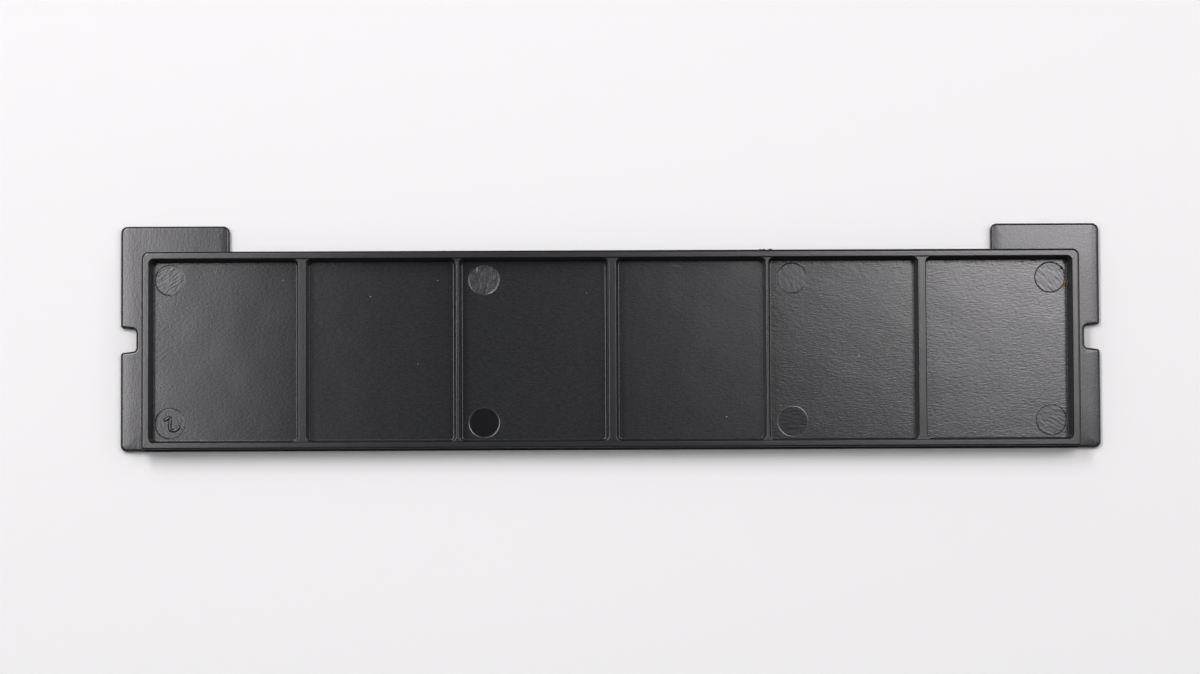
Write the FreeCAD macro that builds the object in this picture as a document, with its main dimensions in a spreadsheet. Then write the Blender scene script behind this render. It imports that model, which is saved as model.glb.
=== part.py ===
"""Memory blank filler: a one-piece moulded blank that fills an empty memory module socket.

The blank lies on its flat back. X runs along its length, Y points to the edge that goes into the
socket, and Z points up out of the open tray. The origin is under the middle of the whole blank.
"""

import FreeCAD
import Part
import math
import os

import Sketcher

# Driving sizes in millimetres and degrees: name, value, what it is.
SIZES = (
    ("module_length", 133.35, "ear to ear, the length of a standard memory module"),
    ("blank_height", 30.7, "from the foot edge to the tips of the tongues"),
    ("plate_thickness", 1.2, "ears, tongues and tray floor, thin enough for the socket slot"),
    ("ear_width", 3.025, "each ear beyond the tray"),
    ("tongue_reach", 3.6, "each tongue beyond the tray"),
    ("tray_depth", 4.0, "rim above the plate"),
    ("draft_angle", 2.8, "slope of every tray wall, so that the moulding leaves its tool"),
    ("rim_width", 1.0, "rim wall at its top"),
    ("tongue_length", 14.8, "each tongue along the socket"),
    ("notch_depth", 2.1, "latch notch into the ear"),
    ("notch_height", 3.15, "latch notch at half its depth"),
    ("notch_flare", 6.0, "slope of the notch sides, wider at the mouth"),
    ("notch_rise", 15.15, "foot edge to the middle of the notch"),
    ("wide_rib_width", 1.12, "wide rib at its top"),
    ("narrow_rib_width", 0.48, "narrow rib at its top"),
    ("rib_drop", 0.3, "rib tops below the rim"),
    ("cell_corner_radius", 0.75, "upright corners of the cells, where ribs flare into the rim"),
    ("rim_corner_radius", 0.8, "outer corners of the tray at the plate"),
    ("rim_edge_radius", 0.2, "rounding of the rim's top edges"),
    ("rib_edge_radius", 0.15, "rounding of the rib tops"),
    ("ear_corner_radius", 0.9, "corners of the ears and tongues"),
    ("ear_edge_radius", 0.25, "rounding of the ears' and tongues' upper edges"),
    ("notch_mouth_radius", 0.4, "outer corners of the latch notch"),
    ("notch_root_radius", 0.55, "inner corners of the latch notch"),
    ("pin_diameter", 4.1, "ejector pin mark"),
    ("pin_mark_depth", 0.12, "ejector pin mark below the floor"),
    ("pin_end_inset", 3.7, "end of the tray to the middle of the end marks"),
    ("pin_side_inset", 3.8, "long sides of the tray to the middle of the marks"),
    ("pin_rib_offset", 3.7, "narrow rib to the middle of the marks beside it"),
)

# Places worked out from the driving sizes.
HALF_LENGTH = "sizes.module_length / 2"
FOOT_EDGE = "-sizes.blank_height / 2"
TONGUE_TIP = "sizes.blank_height / 2"
TONGUE_END = "sizes.module_length / 2 - sizes.tongue_length"
TRAY_END = "(sizes.module_length / 2 - sizes.ear_width)"
TRAY_HEIGHT = "(sizes.blank_height - sizes.tongue_reach)"
TRAY_TOP_EDGE = "sizes.blank_height / 2 - sizes.tongue_reach"
TRAY_MIDDLE = "-sizes.tongue_reach / 2"
RIM_TOP = "sizes.plate_thickness + sizes.tray_depth"
RIB_TOP = "sizes.plate_thickness + sizes.tray_depth - sizes.rib_drop"
SLOPE = "tan(sizes.draft_angle * 1 deg)"
RIM_INSET = f"(sizes.tray_depth * {SLOPE} + sizes.rim_width)"
# The ribs share the length between the middles of the end walls: three equal cells on each side.
RIB_PITCH = f"(({TRAY_END} - {RIM_INSET} + sizes.rim_width / 2) / 3)"
NOTCH_ROOT = "sizes.module_length / 2 - sizes.notch_depth"
NOTCH_MIDDLE = "sizes.notch_rise - sizes.blank_height / 2"
NOTCH_SPREAD = "sizes.notch_depth / 2 * tan(sizes.notch_flare * 1 deg)"
MOUTH_HALF = f"(sizes.notch_height / 2 + {NOTCH_SPREAD})"
ROOT_HALF = f"(sizes.notch_height / 2 - {NOTCH_SPREAD})"

ZERO = "0"
# The numbers that a sketch gives to a curve's points, to its own origin and to its axes.
START, END, CENTRE = range(1, 4)
LEVEL_AXIS, UPRIGHT_AXIS = range(-1, -3, -1)
ORIGIN = (LEVEL_AXIS, START)
ACROSS_AXIS = {"DistanceX": UPRIGHT_AXIS, "DistanceY": LEVEL_AXIS}
NEAR = 1e-4


def make_sheet(doc):
    """Writes the driving sizes into the document's sheet, each under its own alias."""
    sheet = doc.addObject("Spreadsheet::Sheet", "sizes")
    for row, (alias, value, note) in enumerate(SIZES, start=1):
        sheet.set(f"A{row}", alias)
        sheet.set(f"B{row}", str(value))
        sheet.set(f"C{row}", note)
        sheet.setAlias(f"B{row}", alias)
    doc.recompute()


def number(doc, expression):
    """The value that an expression has now."""
    return float(doc.getObject("sizes").evalExpression(expression))


def origin_feature(body, role):
    """An axis or plane of the body's own origin."""
    return next(item for item in body.Origin.OriginFeatures if item.Role == role)


def new_sketch(body, name, plane, lift=ZERO):
    """An empty sketch on an origin plane, lifted along the plane's normal."""
    sketch = body.newObject("Sketcher::SketchObject", name)
    sketch.AttachmentSupport = [(origin_feature(body, plane), "")]
    sketch.MapMode = "FlatFace"
    sketch.setExpression("AttachmentOffset.Base.z", lift)
    return sketch


def hold(sketch, kind, element, vertex, expression):
    """Dimensions a vertex from the sketch's origin, on either side of it, or sets it on the axis."""
    if expression == ZERO:
        sketch.addConstraint(Sketcher.Constraint("PointOnObject", element, vertex, ACROSS_AXIS[kind]))
        return
    value = number(sketch.Document, expression)
    ends = (*ORIGIN, element, vertex) if value > 0 else (element, vertex, *ORIGIN)
    index = sketch.addConstraint(Sketcher.Constraint(kind, *ends, abs(value)))
    sketch.setExpression(f"Constraints[{index}]", expression if value > 0 else f"-({expression})")


def draw_outline(sketch, corners):
    """Draws straight lines round the corners, given as pairs of expressions.

    Neighbours that share an expression get a level or upright line, and each place that is left
    free by those lines is dimensioned once.
    """
    doc = sketch.Document
    count = len(corners)
    points = [FreeCAD.Vector(number(doc, x), number(doc, y), 0) for x, y in corners]
    for i, point in enumerate(points):
        sketch.addGeometry(Part.LineSegment(point, points[(i + 1) % count]))
    for i in range(count):
        sketch.addConstraint(Sketcher.Constraint("Coincident", i, END, (i + 1) % count, START))
    held = set()
    for axis, straight, kind in ((0, "Vertical", "DistanceX"), (1, "Horizontal", "DistanceY")):
        for i in range(count):
            follower = (i + 1) % count
            if corners[i][axis] == corners[follower][axis] and (axis, follower) not in held:
                sketch.addConstraint(Sketcher.Constraint(straight, i))
                held.add((axis, follower))
        for i in range(count):
            if (axis, i) not in held:
                hold(sketch, kind, i, START, corners[i][axis])


def draw_rounded_rectangle(sketch, left, bottom, right, top, radius):
    """Draws a level rectangle whose corners are equal arcs, each tangent to its two sides."""
    doc = sketch.Document
    x0, y0, x1, y1, r = (number(doc, item) for item in (left, bottom, right, top, radius))
    sides = (
        ((x0 + r, y0), (x1 - r, y0)),
        ((x1, y0 + r), (x1, y1 - r)),
        ((x1 - r, y1), (x0 + r, y1)),
        ((x0, y1 - r), (x0, y0 + r)),
    )
    centres = ((x1 - r, y0 + r), (x1 - r, y1 - r), (x0 + r, y1 - r), (x0 + r, y0 + r))
    for start, end in sides:
        sketch.addGeometry(Part.LineSegment(FreeCAD.Vector(*start, 0), FreeCAD.Vector(*end, 0)))
    for turn, centre in enumerate(centres):
        round_corner = Part.Circle(FreeCAD.Vector(*centre, 0), FreeCAD.Vector(0, 0, 1), r)
        first = (turn - 1) * math.pi / 2
        sketch.addGeometry(Part.ArcOfCircle(round_corner, first, first + math.pi / 2))
    arcs = range(len(sides), 2 * len(sides))
    for side, arc in enumerate(arcs):
        following = (side + 1) % len(sides)
        sketch.addConstraint(Sketcher.Constraint("Tangent", side, END, arc, START))
        sketch.addConstraint(Sketcher.Constraint("Tangent", arc, END, following, START))
        sketch.addConstraint(Sketcher.Constraint("Vertical" if side % 2 else "Horizontal", side))
    for arc in arcs[1:]:
        sketch.addConstraint(Sketcher.Constraint("Equal", arcs[0], arc))
    size = sketch.addConstraint(Sketcher.Constraint("Radius", arcs[0], r))
    sketch.setExpression(f"Constraints[{size}]", radius)
    for side, place in enumerate((bottom, right, top, left)):
        hold(sketch, "DistanceX" if side % 2 else "DistanceY", side, START, place)


def add_feature(body, kind, name, sketch, **bindings):
    """Adds a sketch-based feature with its sizes bound to expressions."""
    feature = body.newObject(kind, name)
    feature.Profile = sketch
    for size, expression in bindings.items():
        feature.setExpression(size, expression)
    return feature


def finish_step(body, feature):
    """Recomputes, and makes the feature the tip of the body."""
    body.Tip = feature
    body.Document.recompute()
    return feature


def round_edges(body, name, radius, belongs):
    """Fillets the edges of the body's tip for which the test says yes."""
    base = body.Tip
    names = [f"Edge{i}" for i, edge in enumerate(base.Shape.Edges, start=1) if belongs(edge)]
    fillet = body.newObject("PartDesign::Fillet", name)
    fillet.Base = (base, names)
    fillet.setExpression("Radius", radius)
    return finish_step(body, fillet)


def upright(edge):
    """True for a straight edge that is nearer to upright than to level, as drafted edges are."""
    run = edge.lastVertex().Point - edge.firstVertex().Point
    return edge.Length - run.Length < NEAR and abs(run.z) > math.hypot(run.x, run.y)


def level_at(edge, height):
    """True for an edge that lies at one height."""
    return all(abs(vertex.Z - height) < NEAR for vertex in edge.Vertexes)


def make_plate(body):
    """The back plate with its ears, tongues and latch notches: one half drawn, then mirrored."""
    sketch = new_sketch(body, "plate_half_outline", "XY_Plane")
    draw_outline(sketch, (
        (ZERO, FOOT_EDGE),
        (HALF_LENGTH, FOOT_EDGE),
        (HALF_LENGTH, f"{NOTCH_MIDDLE} - {MOUTH_HALF}"),
        (NOTCH_ROOT, f"{NOTCH_MIDDLE} - {ROOT_HALF}"),
        (NOTCH_ROOT, f"{NOTCH_MIDDLE} + {ROOT_HALF}"),
        (HALF_LENGTH, f"{NOTCH_MIDDLE} + {MOUTH_HALF}"),
        (HALF_LENGTH, TONGUE_TIP),
        (TONGUE_END, TONGUE_TIP),
        (TONGUE_END, TRAY_TOP_EDGE),
        (ZERO, TRAY_TOP_EDGE),
    ))
    half = add_feature(body, "PartDesign::Pad", "plate_half", sketch, Length="sizes.plate_thickness")
    finish_step(body, half)
    plate = body.newObject("PartDesign::Mirrored", "plate")
    plate.Originals = [half]
    plate.MirrorPlane = (origin_feature(body, "YZ_Plane"), [""])
    finish_step(body, plate)


def round_plate_corners(body):
    """Rounds the ears, the tongue tips and the latch notches as seen from above."""
    doc = body.Document
    half_length = number(doc, HALF_LENGTH)
    tongue_end = number(doc, TONGUE_END)
    tongue_tip = number(doc, TONGUE_TIP)
    notch_root = number(doc, NOTCH_ROOT)
    notch_middle = number(doc, NOTCH_MIDDLE)
    mouth_half = number(doc, MOUTH_HALF)

    def is_root(edge):
        return upright(edge) and abs(abs(edge.CenterOfMass.x) - notch_root) < NEAR

    def is_mouth(edge):
        middle = edge.CenterOfMass
        at_side = abs(abs(middle.x) - half_length) < NEAR
        return upright(edge) and at_side and abs(abs(middle.y - notch_middle) - mouth_half) < NEAR

    def is_corner(edge):
        middle = edge.CenterOfMass
        at_side = abs(abs(middle.x) - half_length) < NEAR
        at_tip = abs(abs(middle.x) - tongue_end) < NEAR
        far = abs(abs(middle.y) - tongue_tip) < NEAR
        return upright(edge) and far and (at_side or at_tip)

    round_edges(body, "notch_roots", "sizes.notch_root_radius", is_root)
    round_edges(body, "notch_mouths", "sizes.notch_mouth_radius", is_mouth)
    round_edges(body, "ear_corners", "sizes.ear_corner_radius", is_corner)
    plate_top = number(doc, "sizes.plate_thickness")
    round_edges(body, "ear_edges", "sizes.ear_edge_radius", lambda edge: level_at(edge, plate_top))


def make_tray(body):
    """The tray: a base flush with the plate, a drafted block on it, hollowed down to the floor."""
    footprint = (f"-{TRAY_END}", FOOT_EDGE, TRAY_END, TRAY_TOP_EDGE, "sizes.rim_corner_radius")
    base_sketch = new_sketch(body, "tray_base_outline", "XY_Plane")
    draw_rounded_rectangle(base_sketch, *footprint)
    base = add_feature(
        body, "PartDesign::Pad", "tray_base", base_sketch, Length="sizes.plate_thickness",
    )
    finish_step(body, base)

    block_sketch = new_sketch(body, "tray_outline", "XY_Plane", "sizes.plate_thickness")
    draw_rounded_rectangle(block_sketch, *footprint)
    block = add_feature(
        body, "PartDesign::Pad", "tray_block", block_sketch,
        Length="sizes.tray_depth", TaperAngle="-sizes.draft_angle",
    )
    finish_step(body, block)

    cavity_sketch = new_sketch(body, "rim_inside", "XY_Plane", RIM_TOP)
    draw_rounded_rectangle(
        cavity_sketch,
        f"{RIM_INSET} - {TRAY_END}", f"{FOOT_EDGE} + {RIM_INSET}",
        f"{TRAY_END} - {RIM_INSET}", f"{TRAY_TOP_EDGE} - {RIM_INSET}",
        f"sizes.cell_corner_radius + sizes.tray_depth * {SLOPE}",
    )
    cavity = add_feature(
        body, "PartDesign::Pocket", "tray_cavity", cavity_sketch,
        Length="sizes.tray_depth", TaperAngle="-sizes.draft_angle",
    )
    finish_step(body, cavity)


def make_ribs(body, name, width, first, reach, count):
    """A row of like ribs across the tray: one drafted profile, padded into both rim walls."""
    spread = f"(sizes.tray_depth - sizes.rib_drop) * {SLOPE}"
    sketch = new_sketch(body, f"{name}_profile", "XZ_Plane", f"-({TRAY_MIDDLE})")
    draw_outline(sketch, (
        (f"{first} - {width} / 2 - {spread}", "sizes.plate_thickness"),
        (f"{first} + {width} / 2 + {spread}", "sizes.plate_thickness"),
        (f"{first} + {width} / 2", RIB_TOP),
        (f"{first} - {width} / 2", RIB_TOP),
    ))
    rib = add_feature(
        body, "PartDesign::Pad", name, sketch,
        Length=f"{TRAY_HEIGHT} - 2 * {RIM_INSET} + sizes.rim_width",
    )
    rib.SideType = "Symmetric"
    finish_step(body, rib)
    row = body.newObject("PartDesign::LinearPattern", f"{name}_row")
    row.Originals = [rib]
    row.Direction = (origin_feature(body, "X_Axis"), [""])
    row.Occurrences = count
    row.setExpression("Length", reach)
    finish_step(body, row)


def round_cells(body):
    """Rounds the cells: the rib ends first, then the rim's top edges and the rib tops."""
    doc = body.Document
    floor = number(doc, "sizes.plate_thickness")
    rim_top = number(doc, RIM_TOP)
    rib_top = number(doc, RIB_TOP)
    inner_end = number(doc, TRAY_END) - number(doc, "sizes.rim_width") / 2
    middle = number(doc, TRAY_MIDDLE)
    inner_side = (number(doc, TRAY_HEIGHT) - number(doc, "sizes.rim_width")) / 2

    def inside(edge):
        centre = edge.CenterOfMass
        return abs(centre.x) < inner_end and abs(centre.y - middle) < inner_side

    round_edges(
        body, "rib_ends", "sizes.cell_corner_radius",
        lambda edge: upright(edge) and inside(edge) and floor < edge.BoundBox.ZMax < rim_top - NEAR,
    )
    round_edges(body, "rim_edges", "sizes.rim_edge_radius", lambda edge: level_at(edge, rim_top))
    round_edges(
        body, "rib_edges", "sizes.rib_edge_radius",
        lambda edge: level_at(edge, rib_top) and edge.BoundBox.YLength > edge.BoundBox.XLength,
    )


def make_pin_marks(body):
    """The round marks that the ejector pins leave in the floor, two in each pinned cell."""
    doc = body.Document
    end_mark = f"{TRAY_END} - sizes.pin_end_inset"
    columns = (
        f"-({end_mark})",
        f"sizes.pin_rib_offset - {RIB_PITCH}",
        f"sizes.pin_rib_offset + {RIB_PITCH}",
        end_mark,
    )
    rows = (f"{FOOT_EDGE} + sizes.pin_side_inset", f"{TRAY_TOP_EDGE} - sizes.pin_side_inset")
    sketch = new_sketch(body, "pin_mark_circles", "XY_Plane", "sizes.plate_thickness")
    radius = "sizes.pin_diameter / 2"
    for x in columns:
        for y in rows:
            centre = FreeCAD.Vector(number(doc, x), number(doc, y), 0)
            circle = Part.Circle(centre, FreeCAD.Vector(0, 0, 1), number(doc, radius))
            index = sketch.addGeometry(circle)
            hold(sketch, "DistanceX", index, CENTRE, x)
            hold(sketch, "DistanceY", index, CENTRE, y)
            size = sketch.addConstraint(Sketcher.Constraint("Radius", index, number(doc, radius)))
            sketch.setExpression(f"Constraints[{size}]", radius)
    marks = add_feature(
        body, "PartDesign::Pocket", "pin_marks", sketch, Length="sizes.pin_mark_depth",
    )
    finish_step(body, marks)


def make_blank(doc):
    """The whole moulding, as one body."""
    body = doc.addObject("PartDesign::Body", "blank_body")
    body.Label = "blank_body"
    make_plate(body)
    round_plate_corners(body)
    make_tray(body)
    make_ribs(body, "wide_rib", "sizes.wide_rib_width", f"-2 * {RIB_PITCH}", f"4 * {RIB_PITCH}", 3)
    make_ribs(body, "narrow_rib", "sizes.narrow_rib_width", f"-{RIB_PITCH}", f"2 * {RIB_PITCH}", 2)
    round_cells(body)
    make_pin_marks(body)
    return body


def check(doc, bodies):
    """Stops with a message if any object failed or any body isn't one sound solid."""
    failed = [item.Label for item in doc.Objects if {"Invalid", "Error"} & set(item.State)]
    if failed:
        raise RuntimeError(f"objects that failed: {failed}")
    for body in bodies:
        shape = body.Shape
        if shape.isNull() or not shape.isValid() or len(shape.Solids) != 1:
            raise RuntimeError(f"{body.Label} isn't one sound solid")


def main():
    """Builds the blank and writes it."""
    doc = FreeCAD.newDocument("memory_blank_filler")
    make_sheet(doc)
    bodies = [make_blank(doc)]
    doc.recompute()
    check(doc, bodies)
    os.makedirs("parts", exist_ok=True)
    for body in bodies:
        body.Shape.exportStep(os.path.join("parts", f"{body.Label}.step"))
        box = body.Shape.optimalBoundingBox(False)
        print(body.Label, f"{box.XLength:.2f} x {box.YLength:.2f} x {box.ZLength:.2f} mm,",
              f"{body.Shape.Volume / 1000:.2f} cm3")


main()
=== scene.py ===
"""Looks of a memory blank filler: a black moulded tray with ribs, ears and socket tongues.

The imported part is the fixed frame. One finer skin of the same form stands for its solid and adds what the
solid leaves out: foot fillets, softer rim edges, crowned ears and the finish that the mould gave each
surface. Lengths are millimetres until a mesh is made. X runs along the blank, Y towards the socket and Z out
of the tray.
"""

import logging
import math
from collections.abc import Mapping, Sequence
from dataclasses import dataclass
from enum import Enum

import bmesh
import bpy
import numpy as np
from mathutils.geometry import tessellate_polygon
from numpy.typing import NDArray
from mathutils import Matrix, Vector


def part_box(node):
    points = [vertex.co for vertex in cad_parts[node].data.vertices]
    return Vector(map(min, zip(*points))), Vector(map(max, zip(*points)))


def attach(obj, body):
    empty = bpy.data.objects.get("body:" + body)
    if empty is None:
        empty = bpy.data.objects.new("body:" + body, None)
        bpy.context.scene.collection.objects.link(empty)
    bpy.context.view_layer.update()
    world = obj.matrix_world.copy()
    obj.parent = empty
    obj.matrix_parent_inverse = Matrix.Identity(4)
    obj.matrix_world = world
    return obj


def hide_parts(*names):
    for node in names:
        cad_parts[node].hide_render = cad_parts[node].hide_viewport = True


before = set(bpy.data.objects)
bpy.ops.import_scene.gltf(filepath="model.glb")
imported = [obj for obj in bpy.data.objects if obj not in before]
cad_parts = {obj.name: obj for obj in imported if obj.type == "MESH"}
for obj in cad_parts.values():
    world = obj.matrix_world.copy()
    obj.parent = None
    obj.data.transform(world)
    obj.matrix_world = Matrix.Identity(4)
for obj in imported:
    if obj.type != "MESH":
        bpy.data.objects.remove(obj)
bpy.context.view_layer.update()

Array = NDArray[np.float64]

NODE = "blank_body"
BODY = "root"
MM = 0.001
MICROMETRE = 0.000001
# Points that are nearer than this, in millimetres, are one point.
WELD = 0.0002
QUARTER_TURN = math.pi / 2
# Face attributes that carry a finish to the material: depth, roughness and turn, then width, grey and
# width over length.
FINISH_ATTRIBUTE = "tool_finish"
LINE_ATTRIBUTE = "tool_lines"
LOG = logging.getLogger("memory_blank")


def linear(colour: str) -> tuple[float, float, float, float]:
    """Turns an sRGB hex colour to the linear RGBA that shader sockets take.

    A share of up to 0.04045 is divided by 12.92. A larger one has 0.055 added, is divided by 1.055 and is
    raised to the power of 2.4.

    Args:
        colour: Six hex digits after a hash sign.

    Returns:
        Linear red, green and blue, and an alpha of one.
    """
    shares = np.array([int(colour[i:i + 2], 16) for i in (1, 3, 5)]) / 255
    values = np.where(shares <= 0.04045, shares / 12.92, ((shares + 0.055) / 1.055) ** 2.4)
    return (*values.tolist(), 1.0)


def add_node(
    tree: bpy.types.NodeTree,
    kind: str,
    settings: Mapping[str, object] | None = None,
    inputs: Mapping[str | int, object] | None = None,
) -> bpy.types.Node:
    """Adds one node, sets its options and fills its sockets.

    Args:
        tree: The material's or world's node tree.
        kind: Blender's type name of the node.
        settings: Option values by attribute name.
        inputs: A plain value or an output socket for each named or numbered input.

    Returns:
        The new node.
    """
    node = tree.nodes.new(kind)
    for name, value in (settings or {}).items():
        setattr(node, name, value)
    for name, value in (inputs or {}).items():
        if isinstance(value, bpy.types.NodeSocket):
            tree.links.new(value, node.inputs[name])
        else:
            node.inputs[name].default_value = value
    return node


def new_tree(name: str) -> tuple[bpy.types.Material, bpy.types.NodeTree]:
    """Makes a material with an empty node tree.

    Args:
        name: What the real material is and how its surface was made.

    Returns:
        The material and its tree.
    """
    material = bpy.data.materials.new(name)
    material.use_nodes = True
    material.node_tree.nodes.clear()
    return material, material.node_tree


class Ends(Enum):
    """How the ends of a slim form are rounded, as the power that its rings shrink by."""

    ELLIPSOID = 2
    STROKE = 8


class ToolFinish(Enum):
    """What the mould steel left on a surface: depth of its lines in micrometres, gloss roughness, the way
    the lines lie in degrees from the blank's length, their width in millimetres, how far the plastic is
    greyed, from 0 to 1, and how many times longer than wide a line is. The grey is that of fine scratches,
    and on some faces it is painted light and shade as well: raised on the foot fillets for a painted
    highlight, raised on the side walls as painted light, and kept low on the head walls as painted shade."""

    FLOOR = (4.0, 0.12, 0.0, 0.2, 0.33, 3.8)
    FLOOR_SPECKLED = (4.5, 0.12, 0.0, 0.13, 0.28, 3.8)
    FLOOR_LINED = (7.5, 0.12, 0.0, 0.125, 0.19, 5.0)
    FLOOR_BRIGHT = (8.5, 0.12, 0.0, 0.125, 0.3, 5.0)
    # Painted light and shade in the grey: the foot fillets' grey is raised for a painted highlight line, and
    # the side walls are greyed far more than the head walls, so that one black plastic is painted lit on the
    # sides and shaded at the heads.
    FOOT = (4.0, 0.17, 0.0, 0.25, 0.45, 3.8)
    SIDE_WALL = (3.0, 0.5, 90.0, 0.3, 0.42, 3.8)
    HEAD_WALL = (3.0, 0.5, 90.0, 0.3, 0.05, 3.8)
    OUTER_WALL = (0.0, 0.8, 90.0, 0.3, 0.3, 3.8)
    RIM_LONG = (3.0, 0.19, 0.0, 0.25, 0.08, 3.8)
    RIM_CROSS = (3.0, 0.19, 90.0, 0.25, 0.08, 3.8)
    EAR = (3.0, 0.16, 90.0, 0.25, 0.28, 3.8)
    BACK = (3.0, 0.3, 0.0, 0.3, 0.3, 3.8)
    PIN_EDGE = (2.0, 0.2, 0.0, 0.3, 0.3, 3.2)
    PIN_RISING = (13.0, 0.14, 33.0, 0.27, 0.45, 3.2)
    PIN_STEEP = (7.0, 0.14, -62.0, 0.26, 0.42, 3.2)
    PIN_FALLING = (16.0, 0.15, -48.0, 0.36, 0.5, 3.2)
    PIN_SHALLOW = (14.0, 0.15, -28.0, 0.26, 0.4, 3.2)
    PIN_LEVEL = (8.0, 0.11, 0.0, 0.28, 0.2, 5.0)
    PIN_ROUGH = (34.0, 0.2, 80.0, 0.42, 0.5, 3.2)
    PIN_POLISHED = (0.5, 0.07, 0.0, 0.3, 0.04, 3.2)

    def __init__(
        self, depth: float, roughness: float, lay: float, width: float, grey: float, length: float
    ) -> None:
        """Names the six values, in the order in which the class gives them."""
        self.depth, self.roughness, self.lay = depth, roughness, lay
        self.width, self.grey, self.length = width, grey, length

    def surface(self) -> tuple[float, float, float]:
        """Line depth in micrometres, roughness, and the turn in radians that lays lines along X."""
        return self.depth, self.roughness, -math.radians(self.lay)

    def lines(self) -> tuple[float, float, float]:
        """Width of a line in millimetres, how grey the plastic is, and the width over the length."""
        return self.width, self.grey, 1 / self.length

    def slot(self) -> int:
        """Which of the moulding's two materials a face takes: 0 for ground steel, 1 for spark-eroded."""
        return int(self is ToolFinish.OUTER_WALL)


@dataclass(frozen=True)
class Path:
    """A run of plan points, with unit normals that point away from what the run goes round."""

    points: Array
    normals: Array

    def __getitem__(self, part: slice | NDArray[np.bool_]) -> "Path":
        """The chosen points with their normals."""
        return Path(self.points[part], self.normals[part])

    def at(self, outward: Array | float, height: Array | float) -> Array:
        """Space points: each plan point plus its normal times a distance, at a height.

        Args:
            outward: Distance along the normal, one for all points or one each.
            height: Height above the back face, one for all points or one each.

        Returns:
            One row of X, Y and Z per point.
        """
        reach = np.broadcast_to(outward, len(self.points))[:, None]
        lift = np.broadcast_to(height, len(self.points))
        return np.column_stack([self.points + self.normals * reach, lift])

    def mirrored(self) -> "Path":
        """The same run on the other side of the blank's middle, still going the same way round."""
        flip = np.array([-1.0, 1.0])
        return Path((self.points * flip)[::-1], (self.normals * flip)[::-1])

    def round_centre(self, x: float, y: float, radius: float) -> "Path":
        """An arc with this run's normals: the centre plus the radius times each normal."""
        return Path(np.array([x, y]) + radius * self.normals, self.normals)


def join(*runs: Path) -> Path:
    """One run out of several, end to end."""
    return Path(
        np.concatenate([run.points for run in runs]),
        np.concatenate([run.normals for run in runs]),
    )


def level_run(xs: Array, y: float, facing: float) -> Path:
    """A side along X at one Y, whose normal points to plus or minus Y."""
    count = len(xs)
    return Path(
        np.column_stack([xs, np.full(count, y)]),
        np.column_stack([np.zeros(count), np.full(count, facing)]),
    )


def upright_run(x: float, ys: Array, facing: float) -> Path:
    """A side along Y at one X, whose normal points to plus or minus X."""
    count = len(ys)
    return Path(
        np.column_stack([np.full(count, x), ys]),
        np.column_stack([np.full(count, facing), np.zeros(count)]),
    )


def arc_run(centre: Sequence[float], radius: float, angles: Array) -> Path:
    """An arc: the centre plus the radius times (cosine, sine) of each angle."""
    normals = np.column_stack([np.cos(angles), np.sin(angles)])
    return Path(np.asarray(centre) + radius * normals, normals)


def spread(start: float, end: float, spacing: float, keep: Array = np.empty(0)) -> Array:
    """Places along a side: even steps from start to end, with places that must be met put in.

    A step that comes nearer to such a place than a quarter of the spacing is left out.

    Args:
        start: First place.
        end: Last place, which may be the lower one.
        spacing: Longest step wanted.
        keep: Places between start and end that the side has to hold.

    Returns:
        The places in the order of travel.
    """
    steps = np.linspace(start, end, max(2, math.ceil(abs(end - start) / spacing) + 1))
    inner = steps[1:-1]
    if len(keep):
        nearest = np.abs(inner[:, None] - keep[None]).min(axis=1)
        inner = inner[nearest > spacing / 4]
    places = np.sort(np.concatenate([steps[[0, -1]], inner, keep]))
    return places if start < end else places[::-1]


def stretched(places: Array, first: float, last: float) -> Array:
    """The same places along a side with its two ends moved."""
    return np.concatenate([[first], places[1:-1], [last]])


def moved_in(plan: Array, moves: Array) -> Array:
    """An outline's corners after each of its lines has moved in along its normal.

    A corner goes to where its two lines meet then. It steps back along both of their normals, along each by
    that line's move less the other's times the cosine between them, over one less the cosine's square.

    Args:
        plan: X and Y of the corners, walked with the material on the left.
        moves: How far each line between two corners moves.

    Returns:
        The moved corners. The two ends go straight in.
    """
    lines = np.diff(plan, axis=0)
    sides = np.column_stack([lines[:, 1], -lines[:, 0]]) / np.linalg.norm(lines, axis=1)[:, None]
    moves = moves[:, None]
    before, after = sides[:-1], sides[1:]
    cosine = (before * after).sum(axis=1, keepdims=True)
    along_before = (moves[:-1] - cosine * moves[1:]) / (1 - cosine**2)
    along_after = (moves[1:] - cosine * moves[:-1]) / (1 - cosine**2)
    moved = plan.copy()
    moved[1:-1] -= along_before * before + along_after * after
    moved[[0, -1]] -= (moves * sides)[[0, -1]]
    return moved


def rounded_outline(corners: Array, steps: int) -> Path:
    """A run of straight lines with arcs at its corners, walked with the material on the left.

    At a corner the arc starts and ends radius x tan(half the turn) from the corner point, and its
    normals turn evenly from one line's normal to the next. No radius gives a single point.

    Args:
        corners: X, Y and radius of each corner; the first and last are plain ends.
        steps: Segments in each arc.

    Returns:
        The run with its outward normals.
    """
    plan, radii = corners[:, :2], corners[:, 2]
    lines = np.diff(plan, axis=0)
    ways = lines / np.linalg.norm(lines, axis=1)[:, None]
    sides = np.column_stack([ways[:, 1], -ways[:, 0]])
    runs = [Path(plan[:1], sides[:1])]
    for corner, radius, before, after, side in zip(plan[1:-1], radii[1:-1], ways, ways[1:], sides):
        turn = math.atan2(before[0] * after[1] - before[1] * after[0], before @ after)
        start = corner - before * radius * math.tan(abs(turn) / 2)
        first = math.atan2(side[1], side[0])
        angles = np.linspace(first, first + turn, steps + 1 if radius else 1)
        bend = math.copysign(radius, turn)
        runs.append(arc_run(start - bend * side, bend, angles))
    runs.append(Path(plan[-1:], sides[-1:]))
    return join(*runs)


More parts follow.
